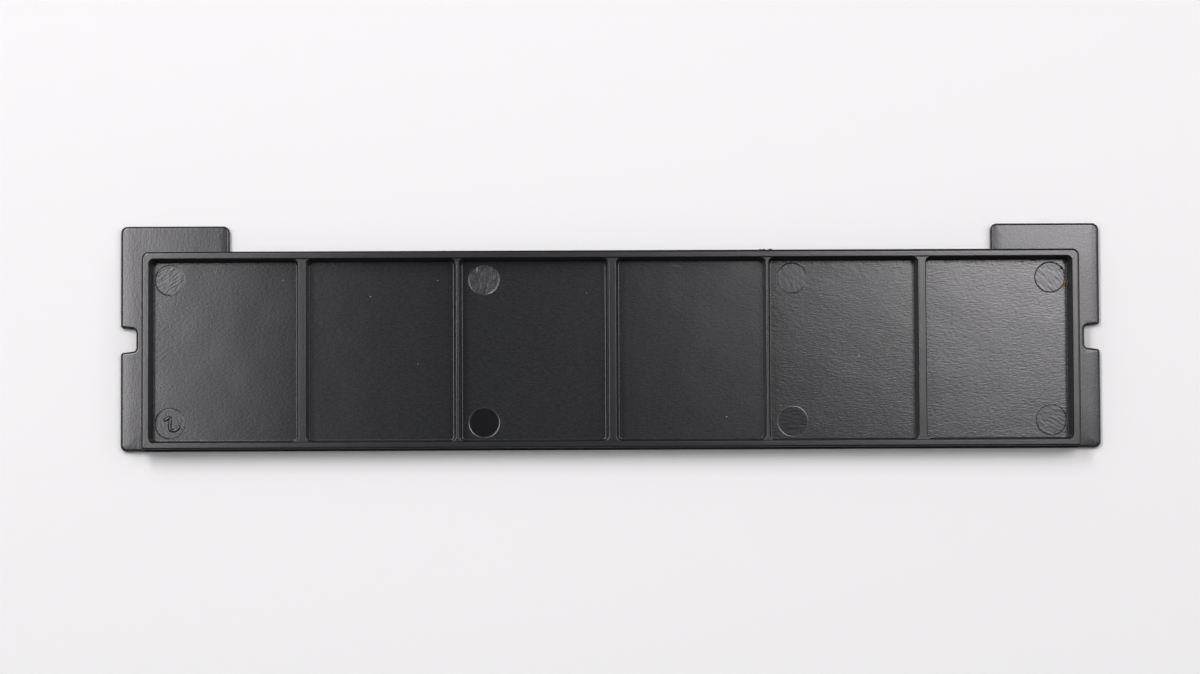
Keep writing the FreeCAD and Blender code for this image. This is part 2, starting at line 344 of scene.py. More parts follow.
class Skin:
    """One closed skin, gathered from patches that share their edges."""

    def __init__(self) -> None:
        """Starts with no patches."""
        self.points: list[Array] = []
        self.faces: list[list[int]] = []
        self.finishes: list[ToolFinish] = []
        self.count = 0

    def _take(self, points: Array, faces: NDArray[np.int64], finish: ToolFinish) -> None:
        """Keeps points and the faces between them, numbered after what is there already.

        Args:
            points: One row of coordinates per point.
            faces: One row of point numbers per face, counted from nought.
            finish: What the mould left on these faces.
        """
        self.faces.extend((faces + self.count).tolist())
        self.finishes.extend([finish] * len(faces))
        self.points.append(points)
        self.count += len(points)

    def grid(self, rows: Array, finish: ToolFinish, closed: bool) -> None:
        """Adds the quads between rows of points that run along one path.

        Args:
            rows: Row, place along the path, coordinate.
            finish: What the mould left on these faces.
            closed: Whether each row's last point joins its first.
        """
        height, length = rows.shape[:2]
        numbers = np.arange(height * length).reshape(height, length)
        ahead = np.roll(numbers, -1, axis=1)
        if not closed:
            numbers, ahead = numbers[:, :-1], ahead[:, :-1]
        quads = np.stack([numbers[:-1], ahead[:-1], ahead[1:], numbers[1:]], axis=-1)
        self._take(rows.reshape(-1, 3), quads.reshape(-1, 4), finish)

    def band(self, rows: Array, runs: Sequence[Path], finishes: Sequence[ToolFinish]) -> None:
        """Adds a band that closes on itself in stretches, each with its own finish.

        Args:
            rows: Row, place round the band, coordinate.
            runs: The runs that the band follows, in order.
            finishes: What the mould left along each run.
        """
        start = 0
        for run, finish in zip(runs, finishes):
            places = np.arange(start, start + len(run.points) + 1)
            self.grid(np.take(rows, places, axis=1, mode="wrap"), finish, closed=False)
            start += len(run.points)

    def flat(self, finish: ToolFinish, outline: Array, *holes: Array) -> None:
        """Fills a level outline, less its holes, with triangles between the outline's own points.

        Args:
            finish: What the mould left on these faces.
            outline: Points of the outer loop.
            holes: Points of each loop that is left open.
        """
        loops = [outline, *holes]
        triangles = np.array(tessellate_polygon([loop.tolist() for loop in loops]))
        self._take(np.concatenate(loops), triangles, finish)

    def mesh(self, name: str) -> bpy.types.Mesh:
        """Welds the patches and gives the skin outward faces and smooth normals.

        A vertex normal is the sum of its faces' normals, each times the face's area; level faces
        count for far more, so that flats stay flat up to the first row of a fillet.

        Args:
            name: Name of the mesh.

        Returns:
            The mesh in metres, with the finish of each face as an attribute.
        """
        mesh = bpy.data.meshes.new(name)
        mesh.from_pydata((np.concatenate(self.points) * MM).tolist(), [], self.faces)
        surfaces = [finish.surface() for finish in self.finishes]
        lines = [finish.lines() for finish in self.finishes]
        for attribute, values in ((FINISH_ATTRIBUTE, surfaces), (LINE_ATTRIBUTE, lines)):
            layer = mesh.attributes.new(attribute, "FLOAT_VECTOR", "FACE")
            layer.data.foreach_set("vector", np.array(values).ravel())
        mesh.polygons.foreach_set("material_index", [finish.slot() for finish in self.finishes])
        work = bmesh.new()
        work.from_mesh(mesh)
        bmesh.ops.remove_doubles(work, verts=work.verts, dist=WELD * MM)
        bmesh.ops.recalc_face_normals(work, faces=work.faces)
        loose = [edge for edge in work.edges if len(edge.link_faces) != 2]
        if loose:
            LOG.warning("%s has %d edges without two faces", name, len(loose))
        work.to_mesh(mesh)
        work.free()
        set_area_normals(mesh)
        return mesh


def set_area_normals(mesh: bpy.types.Mesh) -> None:
    """Gives a mesh smooth normals in which each face counts by its area, and level faces most.

    Args:
        mesh: The mesh, with its faces outwards.
    """
    level_weight = 1e4
    nearly_level = 0.999
    faces = len(mesh.polygons)
    normals = np.empty(faces * 3, np.float32)
    areas = np.empty(faces, np.float32)
    sides = np.empty(faces, np.int32)
    corners = np.empty(len(mesh.loops), np.int32)
    mesh.polygons.foreach_get("normal", normals)
    mesh.polygons.foreach_get("area", areas)
    mesh.polygons.foreach_get("loop_total", sides)
    mesh.loops.foreach_get("vertex_index", corners)
    normals = normals.reshape(-1, 3)
    level = np.abs(normals[:, 2]) > nearly_level
    weights = areas * np.where(level, level_weight, 1.0)
    shares = np.repeat(normals * weights[:, None], sides, axis=0)
    count = len(mesh.vertices)
    total = np.column_stack([np.bincount(corners, share, count) for share in shares.T])
    total /= np.linalg.norm(total, axis=1)[:, None]
    mesh.polygons.foreach_set("use_smooth", np.ones(faces, bool))
    mesh.normals_split_custom_set_from_vertices(total.tolist())


def bezier(points: Sequence[Sequence[float]], count: int) -> Array:
    """A smooth path led by a few points: at each share of the way, their sum times Bernstein's weights.

    Args:
        points: The leading points; the path starts at the first and ends at the last.
        count: Points wanted along the path.

    Returns:
        One row of coordinates per point.
    """
    order = len(points) - 1
    share = np.linspace(0, 1, count)[:, None]
    rank = np.arange(order + 1)
    choices = np.array([math.comb(order, i) for i in rank])
    return (choices * share**rank * (1 - share) ** (order - rank)) @ np.array(points, float)


def ridge(
    path: Array, half_width: float, half_height: float, ends: Ends = Ends.STROKE, flatness: float = 2.0
) -> Array:
    """A slim closed form along a path: rings that shrink to a point at both ends.

    A ring's size is the square root of one less the place between the ends, from -1 to 1, to the power
    that the ends give: 2 makes an ellipsoid, and more makes a stroke with round ends. A ring is a
    superellipse: the sizes of cosine and sine are raised to two over the flatness.

    Args:
        path: Points along the middle.
        half_width: Half the width across the path, level.
        half_height: Half the height.
        ends: How the two ends are rounded.
        flatness: 2 for an elliptic section, more for one with a flat top and steep sides.

    Returns:
        Ring, place round it, coordinate.
    """
    sides = 16
    ways = np.gradient(path, axis=0)
    across = np.cross((0.0, 0.0, 1.0), ways)
    across /= np.linalg.norm(across, axis=1)[:, None]
    above = np.cross(ways, across)
    above /= np.linalg.norm(above, axis=1)[:, None]
    size = np.sqrt(1 - np.linspace(-1, 1, len(path)) ** ends.value)[:, None, None]
    turns = np.linspace(0, 2 * math.pi, sides, endpoint=False)[None, :, None]
    level, upright = (
        np.sign(part) * np.abs(part) ** (2 / flatness) for part in (np.cos(turns), np.sin(turns))
    )
    ring = half_width * level * across[:, None] + half_height * upright * above[:, None]
    return path[:, None] + size * ring


def closed_forms(name: str, finish: ToolFinish, forms: Sequence[Array]) -> bpy.types.Mesh:
    """A mesh of separate closed forms.

    Args:
        name: Name of the mesh.
        finish: What the mould left on them.
        forms: For each form, ring, place round it, coordinate, in millimetres.

    Returns:
        The welded mesh in metres, smooth, with its faces outwards.
    """
    skin = Skin()
    for rings in forms:
        skin.grid(rings, finish, closed=True)
    return skin.mesh(name)


def add_piece(mesh: bpy.types.Mesh, *materials: bpy.types.Material) -> bpy.types.Object:
    """Puts a finished mesh into the scene as a piece of the blank.

    Args:
        mesh: The piece's mesh, with its place in its points.
        materials: Its materials, in the order of its slots.

    Returns:
        The object, which rides on the blank's one body.
    """
    piece = bpy.data.objects.new(mesh.name, mesh)
    for material in materials:
        mesh.materials.append(material)
    bpy.context.scene.collection.objects.link(piece)
    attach(piece, BODY)
    LOG.info("%s: %d faces", piece.name, len(mesh.polygons))
    return piece


@dataclass(frozen=True)
class Plate:
    """The back plate: ears with latch notches at both ends, tongues towards the socket, a crowned top."""

    half_length: float
    foot: float
    tip: float
    thickness: float = 1.2
    ear_width: float = 3.025
    tongue_reach: float = 3.6
    tongue_length: float = 14.8
    # The latch notch flares by an angle in degrees, and its middle lies above the foot by its rise.
    notch_depth: float = 2.1
    notch_height: float = 3.15
    notch_flare: float = 6.0
    notch_rise: float = 15.15
    # Radii in plan: the outer corners, then the notch at its mouth and at its root.
    corner: float = 0.9
    mouth: float = 0.4
    root: float = 0.55
    # The top's rounded edge and its crown. Two drops are those of the left and the right ear.
    edge_width: float = 0.39
    edge_drop: float = 0.25
    edge_power: int = 3
    crown_power: int = 2
    crown_width: float = 1.8
    end_drops: tuple[float, float] = (0.016, 0.055)
    tongue_drops: tuple[float, float] = (0.032, 0.055)
    foot_crown_width: float = 1.2
    foot_crown_drop: float = 0.035
    # How far the notch follows an outline that is drawn in, and the least radius of its outer corners.
    notch_share: float = 0.3
    tight_corner: float = 0.1
    back_edge: float = 0.1
    # Segments of each rounding.
    edge_steps: int = 7
    crown_steps: int = 6
    corner_steps: int = 10
    back_steps: int = 3

    @property
    def tray_end(self) -> float:
        """X of the tray's end wall at the plate."""
        return self.half_length - self.ear_width

    @property
    def tray_head(self) -> float:
        """Y of the tray's upper wall at the plate."""
        return self.tip - self.tongue_reach

    @property
    def tongue_end(self) -> float:
        """X of a tongue's inner end."""
        return self.half_length - self.tongue_length

    def edge_insets(self) -> Array:
        """Distances in from the outline of the edge's rows, in steps that grow as the slope eases."""
        return self.edge_width * np.linspace(0, 1, self.edge_steps + 1) ** 2

    def crown_insets(self) -> Array:
        """Distances in from the outline of the rows that lead on from the edge to the level top."""
        return np.linspace(self.edge_width, self.crown_width, self.crown_steps + 1)[1:]

    def top_height(self, plan: Array, inset: Array | float) -> Array:
        """Height of the plate's top at points of the plan.

        The top is crowned, as a cooling face pillows: it falls by a drop times the square of the share
        of the crown's width that is left, towards both ends of an ear and towards the foot. At the very
        edge it also falls by the edge's drop times a higher power, which rounds the corner.

        Args:
            plan: X and Y of each point.
            inset: Distance of each point in from the outline.

        Returns:
            Heights above the back face.
        """
        x, y = np.abs(plan[:, 0]), plan[:, 1]
        on_left = plan[:, 0] < 0
        end_drop = np.where(on_left, *self.end_drops)
        tongue_drop = np.where(on_left, *self.tongue_drops)
        from_tongue_end = np.where(y > self.tray_head - WELD, x - self.tongue_end, self.crown_width)
        height = np.full(len(plan), self.thickness)
        for reach, width, drop, power in (
            (self.half_length - x, self.crown_width, end_drop, self.crown_power),
            (from_tongue_end, self.crown_width, tongue_drop, self.crown_power),
            (y - self.foot, self.foot_crown_width, self.foot_crown_drop, self.crown_power),
            (inset, self.edge_width, self.edge_drop, self.edge_power),
        ):
            height -= drop * (1 - np.clip(reach / width, 0, 1)) ** power
        return height

    def ear(self, foot_corner: float, inset: float = 0.0) -> Path:
        """The right ear and tongue, from the tray's lower corner round to its upper wall.

        The outline's lines move in by the inset, those of the notch by less once past the edge rounding,
        since little is left beside it. An outer corner's radius shrinks by the inset, down to a tight one,
        and a notch root's grows by half of it. Two points along the tip mark where the crown has run out.

        Args:
            foot_corner: Radius of the tray's lower outer corner, where the run starts.
            inset: Distance in from the plate's outline.

        Returns:
            The run with its outward normals.
        """
        spread_half = self.notch_depth / 2 * math.tan(math.radians(self.notch_flare))
        mouth_half = self.notch_height / 2 + spread_half
        root_half = self.notch_height / 2 - spread_half
        middle = self.foot + self.notch_rise
        inside = self.half_length - self.notch_depth
        plan = np.array((
            (self.tray_end - foot_corner, self.foot),
            (self.half_length, self.foot),
            (self.half_length, middle - mouth_half),
            (inside, middle - root_half),
            (inside, middle + root_half),
            (self.half_length, middle + mouth_half),
            (self.half_length, self.tip),
            (self.tongue_end, self.tip),
            (self.tongue_end, self.tray_head),
        ))
        at_notch = min(inset, self.edge_width + (inset - self.edge_width) * self.notch_share)
        moves = np.array((inset, inset, at_notch, at_notch, at_notch, inset, inset, inset))
        outer, mouth = (max(radius - inset, self.tight_corner) for radius in (self.corner, self.mouth))
        root = self.root + at_notch / 2
        radii = np.array((0, outer, mouth, root, root, mouth, outer, outer, 0))
        corners = np.column_stack([moved_in(plan, moves), radii])
        clear = self.crown_width + 2 * self.tight_corner
        tip = self.tip - inset
        crown_ends = ((self.half_length - clear, tip, 0), (self.tongue_end + clear, tip, 0))
        tongue_corner = 7
        return rounded_outline(np.insert(corners, tongue_corner, crown_ends, axis=0), self.corner_steps)


@dataclass(frozen=True)
class Loop:
    """A round-cornered rectangle, counter-clockwise: four sides with their ends, four arcs without."""

    bottom: Path
    bottom_right: Path
    right: Path
    top_right: Path
    top: Path
    top_left: Path
    left: Path
    bottom_left: Path

    def runs(self) -> tuple[Path, ...]:
        """The loop's eight parts in order."""
        return (
            self.bottom, self.bottom_right, self.right, self.top_right,
            self.top, self.top_left, self.left, self.bottom_left,
        )

    def path(self) -> Path:
        """The whole loop as one run."""
        return join(*self.runs())

    def right_flank(self) -> Path:
        """A cell's run along the rib on its right, from the lower rim to the upper one."""
        return join(self.bottom[-1:], self.bottom_right, self.right, self.top_right, self.top[:1])

    def left_flank(self) -> Path:
        """A cell's run along the rib on its left, from the upper rim to the lower one."""
        return join(self.top[-1:], self.top_left, self.left, self.bottom_left, self.bottom[:1])


@dataclass(frozen=True)
class Tray:
    """The ribbed tray on the plate: rim, six drafted cells, and five ribs that flare into the rim."""

    plate: Plate
    rim_top: float
    draft_degrees: float = 2.8
    rim_width: float = 1.0
    rib_widths: tuple[float, ...] = (1.12, 0.48, 1.12, 0.48, 1.12)
    rib_drop: float = 0.3
    # Radii in plan: the rim's outer corners above and below, then the cells' at the ends and at a rib.
    rim_corner: float = 1.1
    foot_corner: float = 0.45
    end_corner: float = 0.5
    rib_corner: float = 0.57
    # What is off the even layout: the lower rim is narrower, and the ribs lie further along X.
    lower_gain: float = 0.1
    rib_shift: float = 0.15
    # Half axes of the rounded upper edges. The rim's outer one is larger towards the socket by a share.
    rim_inner_edge: float = 0.14
    rim_inner_drop: float = 0.12
    rim_outer_edge: float = 0.32
    rim_outer_drop: float = 0.18
    socket_gain: float = 0.22
    rib_edge_width: float = 0.17
    rib_edge_drop: float = 0.13
    # Radii of the foot fillets, and the cells with the soft one on their left and on their right.
    sharp_foot: float = 0.07
    soft_foot: float = 0.24
    soft_left: tuple[bool, ...] = (False, False, True, True, True, False)
    soft_right: tuple[bool, ...] = (True, True, True, False, False, False)
    # Height above the plate of the outer wall's lowest drafted row, and the longest step along a side.
    wall_start: float = 0.1
    spacing: float = 0.8
    # Segments of each rounding.
    arc_steps: int = 8
    fillet_steps: int = 4
    edge_steps: int = 6

    @property
    def floor(self) -> float:
        """Height of the cells' floor."""
        return self.plate.thickness

    @property
    def rib_top(self) -> float:
        """Height of the ribs' tops."""
        return self.rim_top - self.rib_drop

    @property
    def lean(self) -> float:
        """Draft of every wall, in radians."""
        return math.radians(self.draft_degrees)

    @property
    def tangent(self) -> float:
        """Length from a corner to where its rounding starts, for a radius of one."""
        return math.tan((QUARTER_TURN - self.lean) / 2)

    def drift(self, height: Array | float) -> Array | float:
        """How far a drafted wall has moved sideways between the floor and a height."""
        return math.tan(self.lean) * (height - self.floor)

    @property
    def inset(self) -> float:
        """Distance from the outer wall at the plate to the inner wall at the floor."""
        return self.rim_width + 2 * self.drift(self.rim_top)

    def rib_centres(self) -> Array:
        """X of the ribs: even shares of the length between the end rims' middles, all a little off."""
        last = self.plate.tray_end - self.drift(self.rim_top) - self.rim_width / 2
        return np.linspace(-last, last, len(self.rib_widths) + 2)[1:-1] + self.rib_shift

    def lower_turns(self) -> Array:
        """Angles round a lower outer corner, from the lower side, where the ear's edge rows meet it."""
        return np.arccos(1 - self.plate.edge_insets()[1:] / self.foot_corner)

    def cells(self) -> list[Loop]:
        """The six cells from left to right, each a rectangle with an arc at every corner.

        An end cell's upper side has points where the tongue's edge and crown rows meet the rim, and its
        lower outer arc has one for each row of the ear's edge.

        Returns:
            Each cell's loop at the floor.
        """
        plate = self.plate
        even = np.linspace(0, QUARTER_TURN, self.arc_steps + 1)[1:-1]
        low = plate.foot + self.inset - self.lower_gain
        high = plate.tray_head - self.inset
        feet = np.array(self.rib_widths) / 2 + self.drift(self.rib_top)
        centres = self.rib_centres()
        end = plate.tray_end - self.inset
        lefts = np.concatenate([[-end], centres + feet])
        rights = np.concatenate([centres - feet, [end]])
        tongue_places = plate.tongue_end + np.concatenate([plate.edge_insets(), plate.crown_insets()])
        cells = []
        for left, right in zip(lefts, rights):
            at_left, at_right = left == -end, right == end
            left_radius = self.end_corner if at_left else self.rib_corner
            right_radius = self.end_corner if at_right else self.rib_corner
            first, last = left + left_radius, right - right_radius
            places = np.concatenate([tongue_places * at_right, -tongue_places * at_left])
            keep = places[(places > first) & (places < last)] if at_left or at_right else np.empty(0)
            right_turns = self.lower_turns() if at_right else even
            left_turns = QUARTER_TURN - self.lower_turns()[::-1] if at_left else even
            right_ys = spread(low + right_radius, high - right_radius, self.spacing)
            left_ys = spread(high - left_radius, low + left_radius, self.spacing)
            cells.append(Loop(
                level_run(spread(first, last, self.spacing), low, -1),
                arc_run((last, low + right_radius), right_radius, right_turns - QUARTER_TURN),
                upright_run(right, right_ys, 1),
                arc_run((last, high - right_radius), right_radius, even),
                level_run(spread(last, first, self.spacing, keep), high, 1),
                arc_run((first, high - left_radius), left_radius, even + QUARTER_TURN),
                upright_run(left, left_ys, -1),
                arc_run((first, low + left_radius), left_radius, left_turns + math.pi),
            ))
        return cells

    def rounding(
        self, width: Array | float, drop: Array | float, height: float
    ) -> list[tuple[Array, Array]]:
        """A wall's upper edge: a quarter ellipse that leaves the drafted wall and ends level.

        A row lies drop x (1 - sine) under the top, and width x (1 - cosine) behind the wall there.

        Args:
            width: The ellipse's half axis across, one or one for each point of a run.
            drop: Its half axis up, likewise.
            height: Height of the level top.

        Returns:
            Distance behind the wall's foot and height of each row, from the wall to the top.
        """
        turns = np.linspace(0, QUARTER_TURN, self.edge_steps + 1)
        heights = [height - drop * (1 - math.sin(turn)) for turn in turns]
        return [(self.drift(z) + width * (1 - math.cos(turn)), z) for turn, z in zip(turns, heights)]

    def edge_drop(self, run: Path, beside_left: bool, beside_right: bool) -> Array:
        """How far a rib's edge falls along a cell's loop: the full drop times the normal's part across
        the rib, so that it shrinks to nothing round the flares.

        Args:
            run: The cell's loop at the floor.
            beside_left: Whether the cell has a rib on its left.
            beside_right: Whether it has one on its right.

        Returns:
            The drop at each point.
        """
        across = run.normals[:, 0]
        on_ribs = np.maximum(across, 0) * beside_right + np.maximum(-across, 0) * beside_left
        return self.rib_edge_drop * on_ribs

    def foot_radius(self, run: Path, number: int) -> Array:
        """Foot fillet round a cell: soft along the lower side and the sides named for the cell, nearly
        sharp elsewhere. Round a corner the squares of the normal's two parts weigh one against the other.

        Args:
            run: The cell's loop at the floor.
            number: The cell's number from the left.

        Returns:
            The radius at each point.
        """
        across, along = run.normals.T
        soft = np.minimum(along, 0) ** 2
        soft += np.maximum(across, 0) ** 2 * self.soft_right[number]
        soft += np.minimum(across, 0) ** 2 * self.soft_left[number]
        return self.sharp_foot + (self.soft_foot - self.sharp_foot) * soft

    def foot(self, run: Path, fillet: Array) -> Array:
        """A cell's foot fillet: an arc that starts level on the floor and ends along the drafted wall.

        Args:
            run: The cell's loop at the floor.
            fillet: The arc's radius at each point.

        Returns:
            Row, place along the loop, coordinate.
        """
        turns = np.linspace(0, QUARTER_TURN - self.lean, self.fillet_steps + 1)
        return np.stack([
            run.at(fillet * (math.sin(turn) - self.tangent), self.floor + fillet * (1 - math.cos(turn)))
            for turn in turns
        ])

    def wall(self, run: Path, fillet: Array, edge: Array) -> Array:
        """A cell's drafted wall, from its foot fillet to where the rib's edge or the rim takes over.

        Args:
            run: The cell's loop at the floor.
            fillet: The foot's radius at each point.
            edge: How far the rib's edge falls at each point.

        Returns:
            Row, place along the loop, coordinate.
        """
        rise = 1 - math.sin(self.lean)
        start, end = self.floor + fillet * rise, self.rib_top - edge
        heights = (start, (start + end) / 2, end)
        return np.stack([run.at(self.drift(height), height) for height in heights])

    def inner_rail(self, cells: Sequence[Loop]) -> Loop:
        """The rim's inner side at the floor: the outer sides of all cells, end to end.

        Args:
            cells: The six cells.

        Returns:
            The loop, which bridges the ribs.
        """
        first, last = cells[0], cells[-1]
        return Loop(
            join(*(cell.bottom for cell in cells)), last.bottom_right, last.right, last.top_right,
            join(*(cell.top for cell in reversed(cells))), first.top_left, first.left, first.bottom_left,
        )

    def outer_rail(self, inner: Loop) -> Loop:
        """The rim's outer side at the plate, with a point for each of the inner side's points.

        Args:
            inner: The inner side.

        Returns:
            The loop with the same normals, on the larger rectangle.
        """
        plate = self.plate
        end = plate.tray_end
        low, low_reach = plate.foot + self.foot_corner, end - self.foot_corner
        high, reach = plate.tray_head - self.rim_corner, end - self.rim_corner
        return Loop(
            level_run(stretched(inner.bottom.points[:, 0], -low_reach, low_reach), plate.foot, -1),
            inner.bottom_right.round_centre(low_reach, low, self.foot_corner),
            upright_run(end, stretched(inner.right.points[:, 1], low, high), 1),
            inner.top_right.round_centre(reach, high, self.rim_corner),
            level_run(stretched(inner.top.points[:, 0], reach, -reach), plate.tray_head, 1),
            inner.top_left.round_centre(-reach, high, self.rim_corner),
            upright_run(-end, stretched(inner.left.points[:, 1], high, low), -1),
            inner.bottom_left.round_centre(-low_reach, low, self.foot_corner),
        )

    def foot_heights(self, rail: Path) -> Array:
        """Height at which the outer wall meets the plate: its top beside the ears, the start of the
        edge rounding on the flush sides, and the rounding and crown where those run out.

        Args:
            rail: The rim's outer side at the plate, once round.

        Returns:
            The height at each point.
        """
        x, y = rail.points.T
        inset = np.where(y < 0, y - self.plate.foot, np.abs(x) - self.plate.tongue_end)
        return self.plate.top_height(rail.points, inset)

    def rim(self, inner: Path, outer: Path) -> tuple[Array, Array, Array]:
        """The rim, carried round on two rails: up the inner wall, over the top, down the outer wall.

        Args:
            inner: The inner side at the floor, once round.
            outer: The outer side at the plate, once round.

        Returns:
            Inner wall, top with its edges, and outer wall, each as row, place round the rim, coordinate.
        """
        inner_edge = self.rounding(self.rim_inner_edge, self.rim_inner_drop, self.rim_top)
        softer = 1 + self.socket_gain * outer.normals[:, 1]
        outer_edge = self.rounding(self.rim_outer_edge * softer, self.rim_outer_drop * softer, self.rim_top)
        join_height = (self.rib_top + inner_edge[0][1]) / 2
        inside = [inner.at(self.drift(height), height) for height in (self.rib_top, join_height)]
        top = [inner.at(behind, height) for behind, height in inner_edge]
        top += [outer.at(-behind, height) for behind, height in reversed(outer_edge)]
        near_foot = self.floor + self.wall_start
        outside = [
            outer.at(-self.drift(near_foot), near_foot),
            outer.at(0, self.floor),
            outer.at(0, self.foot_heights(outer)),
        ]
        return np.stack([*inside, top[0]]), np.stack(top), np.stack([top[-1], *outside])


@dataclass(frozen=True)
class PinMark:
    """The round print of one ejector pin: a face that stands lower, higher or askew, in a ring groove."""

    x: float
    y: float
    finish: ToolFinish
    depth: float = 0.02
    # The groove's depth, the side on which it is deepest, and the share by which it fades across.
    groove: float = 0.05
    heavy_degrees: float = 225.0
    fade: float = 0.0
    # Rise of the face along X and Y.
    slope: tuple[float, float] = (0.0, 0.0)
    radius: float = 2.05
    lip: float = 0.2
    steps: int = 72
    ring_steps: int = 8

    def rings(self, floor: float) -> Array:
        """The groove round the print, from the floor to the print's face.

        The height goes from floor to face as half a cosine wave, less a groove that is a squared sine
        across the lip. The groove is deepest on its heavy side and fades towards the other.

        Args:
            floor: Height of the cell's floor.

        Returns:
            Ring, place round it, coordinate.
        """
        turns = np.linspace(0, 2 * math.pi, self.steps, endpoint=False)
        circle = arc_run((self.x, self.y), self.radius, turns)
        weight = 1 - self.fade * (1 - np.cos(turns - math.radians(self.heavy_degrees))) / 2
        rows = []
        for share in np.linspace(0, 1, self.ring_steps + 1):
            outward = self.lip * (0.5 - share)
            askew = circle.normals @ np.array(self.slope) * (self.radius + outward)
            fall = (self.depth - askew) * (1 - math.cos(math.pi * share)) / 2
            cut = self.groove * weight * math.sin(math.pi * share) ** 2
            rows.append(circle.at(outward, floor - fall - cut))
        return np.stack(rows)


@dataclass(frozen=True)
class Blank:
    """The whole moulding: plate, tray and pin marks as one closed skin."""

    plate: Plate
    tray: Tray
    pins: tuple[PinMark, ...]
    floors: tuple[ToolFinish, ...] = (
        ToolFinish.FLOOR_SPECKLED, ToolFinish.FLOOR, ToolFinish.FLOOR,
        ToolFinish.FLOOR, ToolFinish.FLOOR_LINED, ToolFinish.FLOOR_BRIGHT,
    )

    def build(self) -> bpy.types.Mesh:
        """Works out every patch of the skin and welds them.

        Returns:
            The mesh of the blank.
        """
        skin = Skin()
        cells = self.tray.cells()
        for number, cell in enumerate(cells):
            self._add_cell(skin, cell, number)
        for left, right in zip(cells, cells[1:]):
            self._add_rib(skin, left, right)
        inner = self.tray.inner_rail(cells)
        outer = self.tray.outer_rail(inner)
        self._add_rim(skin, inner, outer)
        self._add_ears(skin, outer)
        self._add_sides(skin, outer)
        return skin.mesh("moulded_blank")

    def _add_cell(self, skin: Skin, cell: Loop, number: int) -> None:
        """Adds a cell's floor, pin marks, foot fillet and walls.

        Args:
            skin: The skin so far.
            cell: The cell's loop at the floor.
            number: The cell's number from the left.
        """
        tray, loop = self.tray, cell.path()
        fillet = tray.foot_radius(loop, number)
        edge = tray.edge_drop(loop, number > 0, number < len(tray.rib_widths))
        foot = tray.foot(loop, fillet)
        skin.grid(foot, ToolFinish.FOOT, closed=True)
        skin.band(tray.wall(loop, fillet, edge), cell.runs(), [
            ToolFinish.HEAD_WALL if run is cell.top else ToolFinish.SIDE_WALL for run in cell.runs()
        ])
        low, high = loop.points.min(axis=0), loop.points.max(axis=0)
        pins = [pin for pin in self.pins if low[0] < pin.x < high[0] and low[1] < pin.y < high[1]]
        grooves = [pin.rings(tray.floor) for pin in pins]
        skin.flat(self.floors[number], foot[0], *(rings[0] for rings in grooves))
        for pin, rings in zip(pins, grooves):
            skin.grid(rings, ToolFinish.PIN_EDGE, closed=True)
            skin.flat(pin.finish, rings[-1])

    def _add_rim(self, skin: Skin, inner: Loop, outer: Loop) -> None:
        """Adds the rim, with the tool's lines along each of its sides.

        Args:
            skin: The skin so far.
            inner: The inner side at the floor.
            outer: The outer side at the plate.
        """
        inside, top, outside = self.tray.rim(inner.path(), outer.path())
        skin.grid(inside, ToolFinish.HEAD_WALL, closed=True)
        skin.grid(outside, ToolFinish.OUTER_WALL, closed=True)
        skin.band(top, inner.runs(), [
            ToolFinish.RIM_CROSS if run is inner.right or run is inner.left else ToolFinish.RIM_LONG
            for run in inner.runs()
        ])

    def _add_rib(self, skin: Skin, left: Loop, right: Loop) -> None:
        """Adds a rib's two rounded edges and its level top, flared at both ends.

        Args:
            skin: The skin so far.
            left: The cell on the rib's left.
            right: The cell on its right.
        """
        tray = self.tray
        edges = []
        for run in (left.right_flank(), right.left_flank()):
            turned = np.abs(run.normals[:, 0])
            edge = tray.rounding(tray.rib_edge_width * turned, tray.rib_edge_drop * turned, tray.rib_top)
            rows = np.stack([run.at(*row) for row in edge])
            skin.grid(rows, ToolFinish.RIM_CROSS, closed=False)
            edges.append(rows[-1])
        skin.grid(np.stack([edges[0], edges[1][::-1]]), ToolFinish.RIM_CROSS, closed=False)

    def _add_ears(self, skin: Skin, rail: Loop) -> None:
        """Adds the tops of both ears with their tongues.

        The rows of the rounded edge lie along the outline, those of the crown along outlines drawn further
        in, and a level middle fills what is left up to the rim.

        Args:
            skin: The skin so far.
            rail: The rim's outer side at the plate.
        """
        plate = self.plate
        corner = self.tray.foot_corner
        ear = plate.ear(corner)
        edge_insets, crown_insets = plate.edge_insets(), plate.crown_insets()
        edge = np.stack([ear.at(-inset, 0.0) for inset in edge_insets])
        edge[:, 0, 0] += np.sqrt(corner**2 - (corner - edge_insets) ** 2)
        crown = np.stack([plate.ear(corner, inset).at(0, 0.0) for inset in crown_insets])
        crown[:, 0, :2] = plate.tray_end, plate.foot + corner
        rows = np.concatenate([edge, crown])
        insets = np.concatenate([edge_insets, crown_insets])
        over_tongue = plate.tongue_end + plate.crown_width + WELD
        top_x = rail.top.points[:, 0]
        right_side = join(rail.right[1:], rail.top_right, rail.top[top_x > over_tongue])
        left_side = join(rail.top[top_x < -over_tongue], rail.top_left, rail.left[:-1])[::-1]
        for flip, side in ((1.0, right_side), (-1.0, left_side)):
            border = rows * np.array([flip, 1.0, 1.0])
            for row, inset in zip(border, insets):
                row[:, 2] = plate.top_height(row[:, :2], inset)
            skin.grid(border, ToolFinish.EAR, closed=False)
            skin.flat(ToolFinish.EAR, np.concatenate([side.at(0, plate.thickness), border[-1][::-1]]))

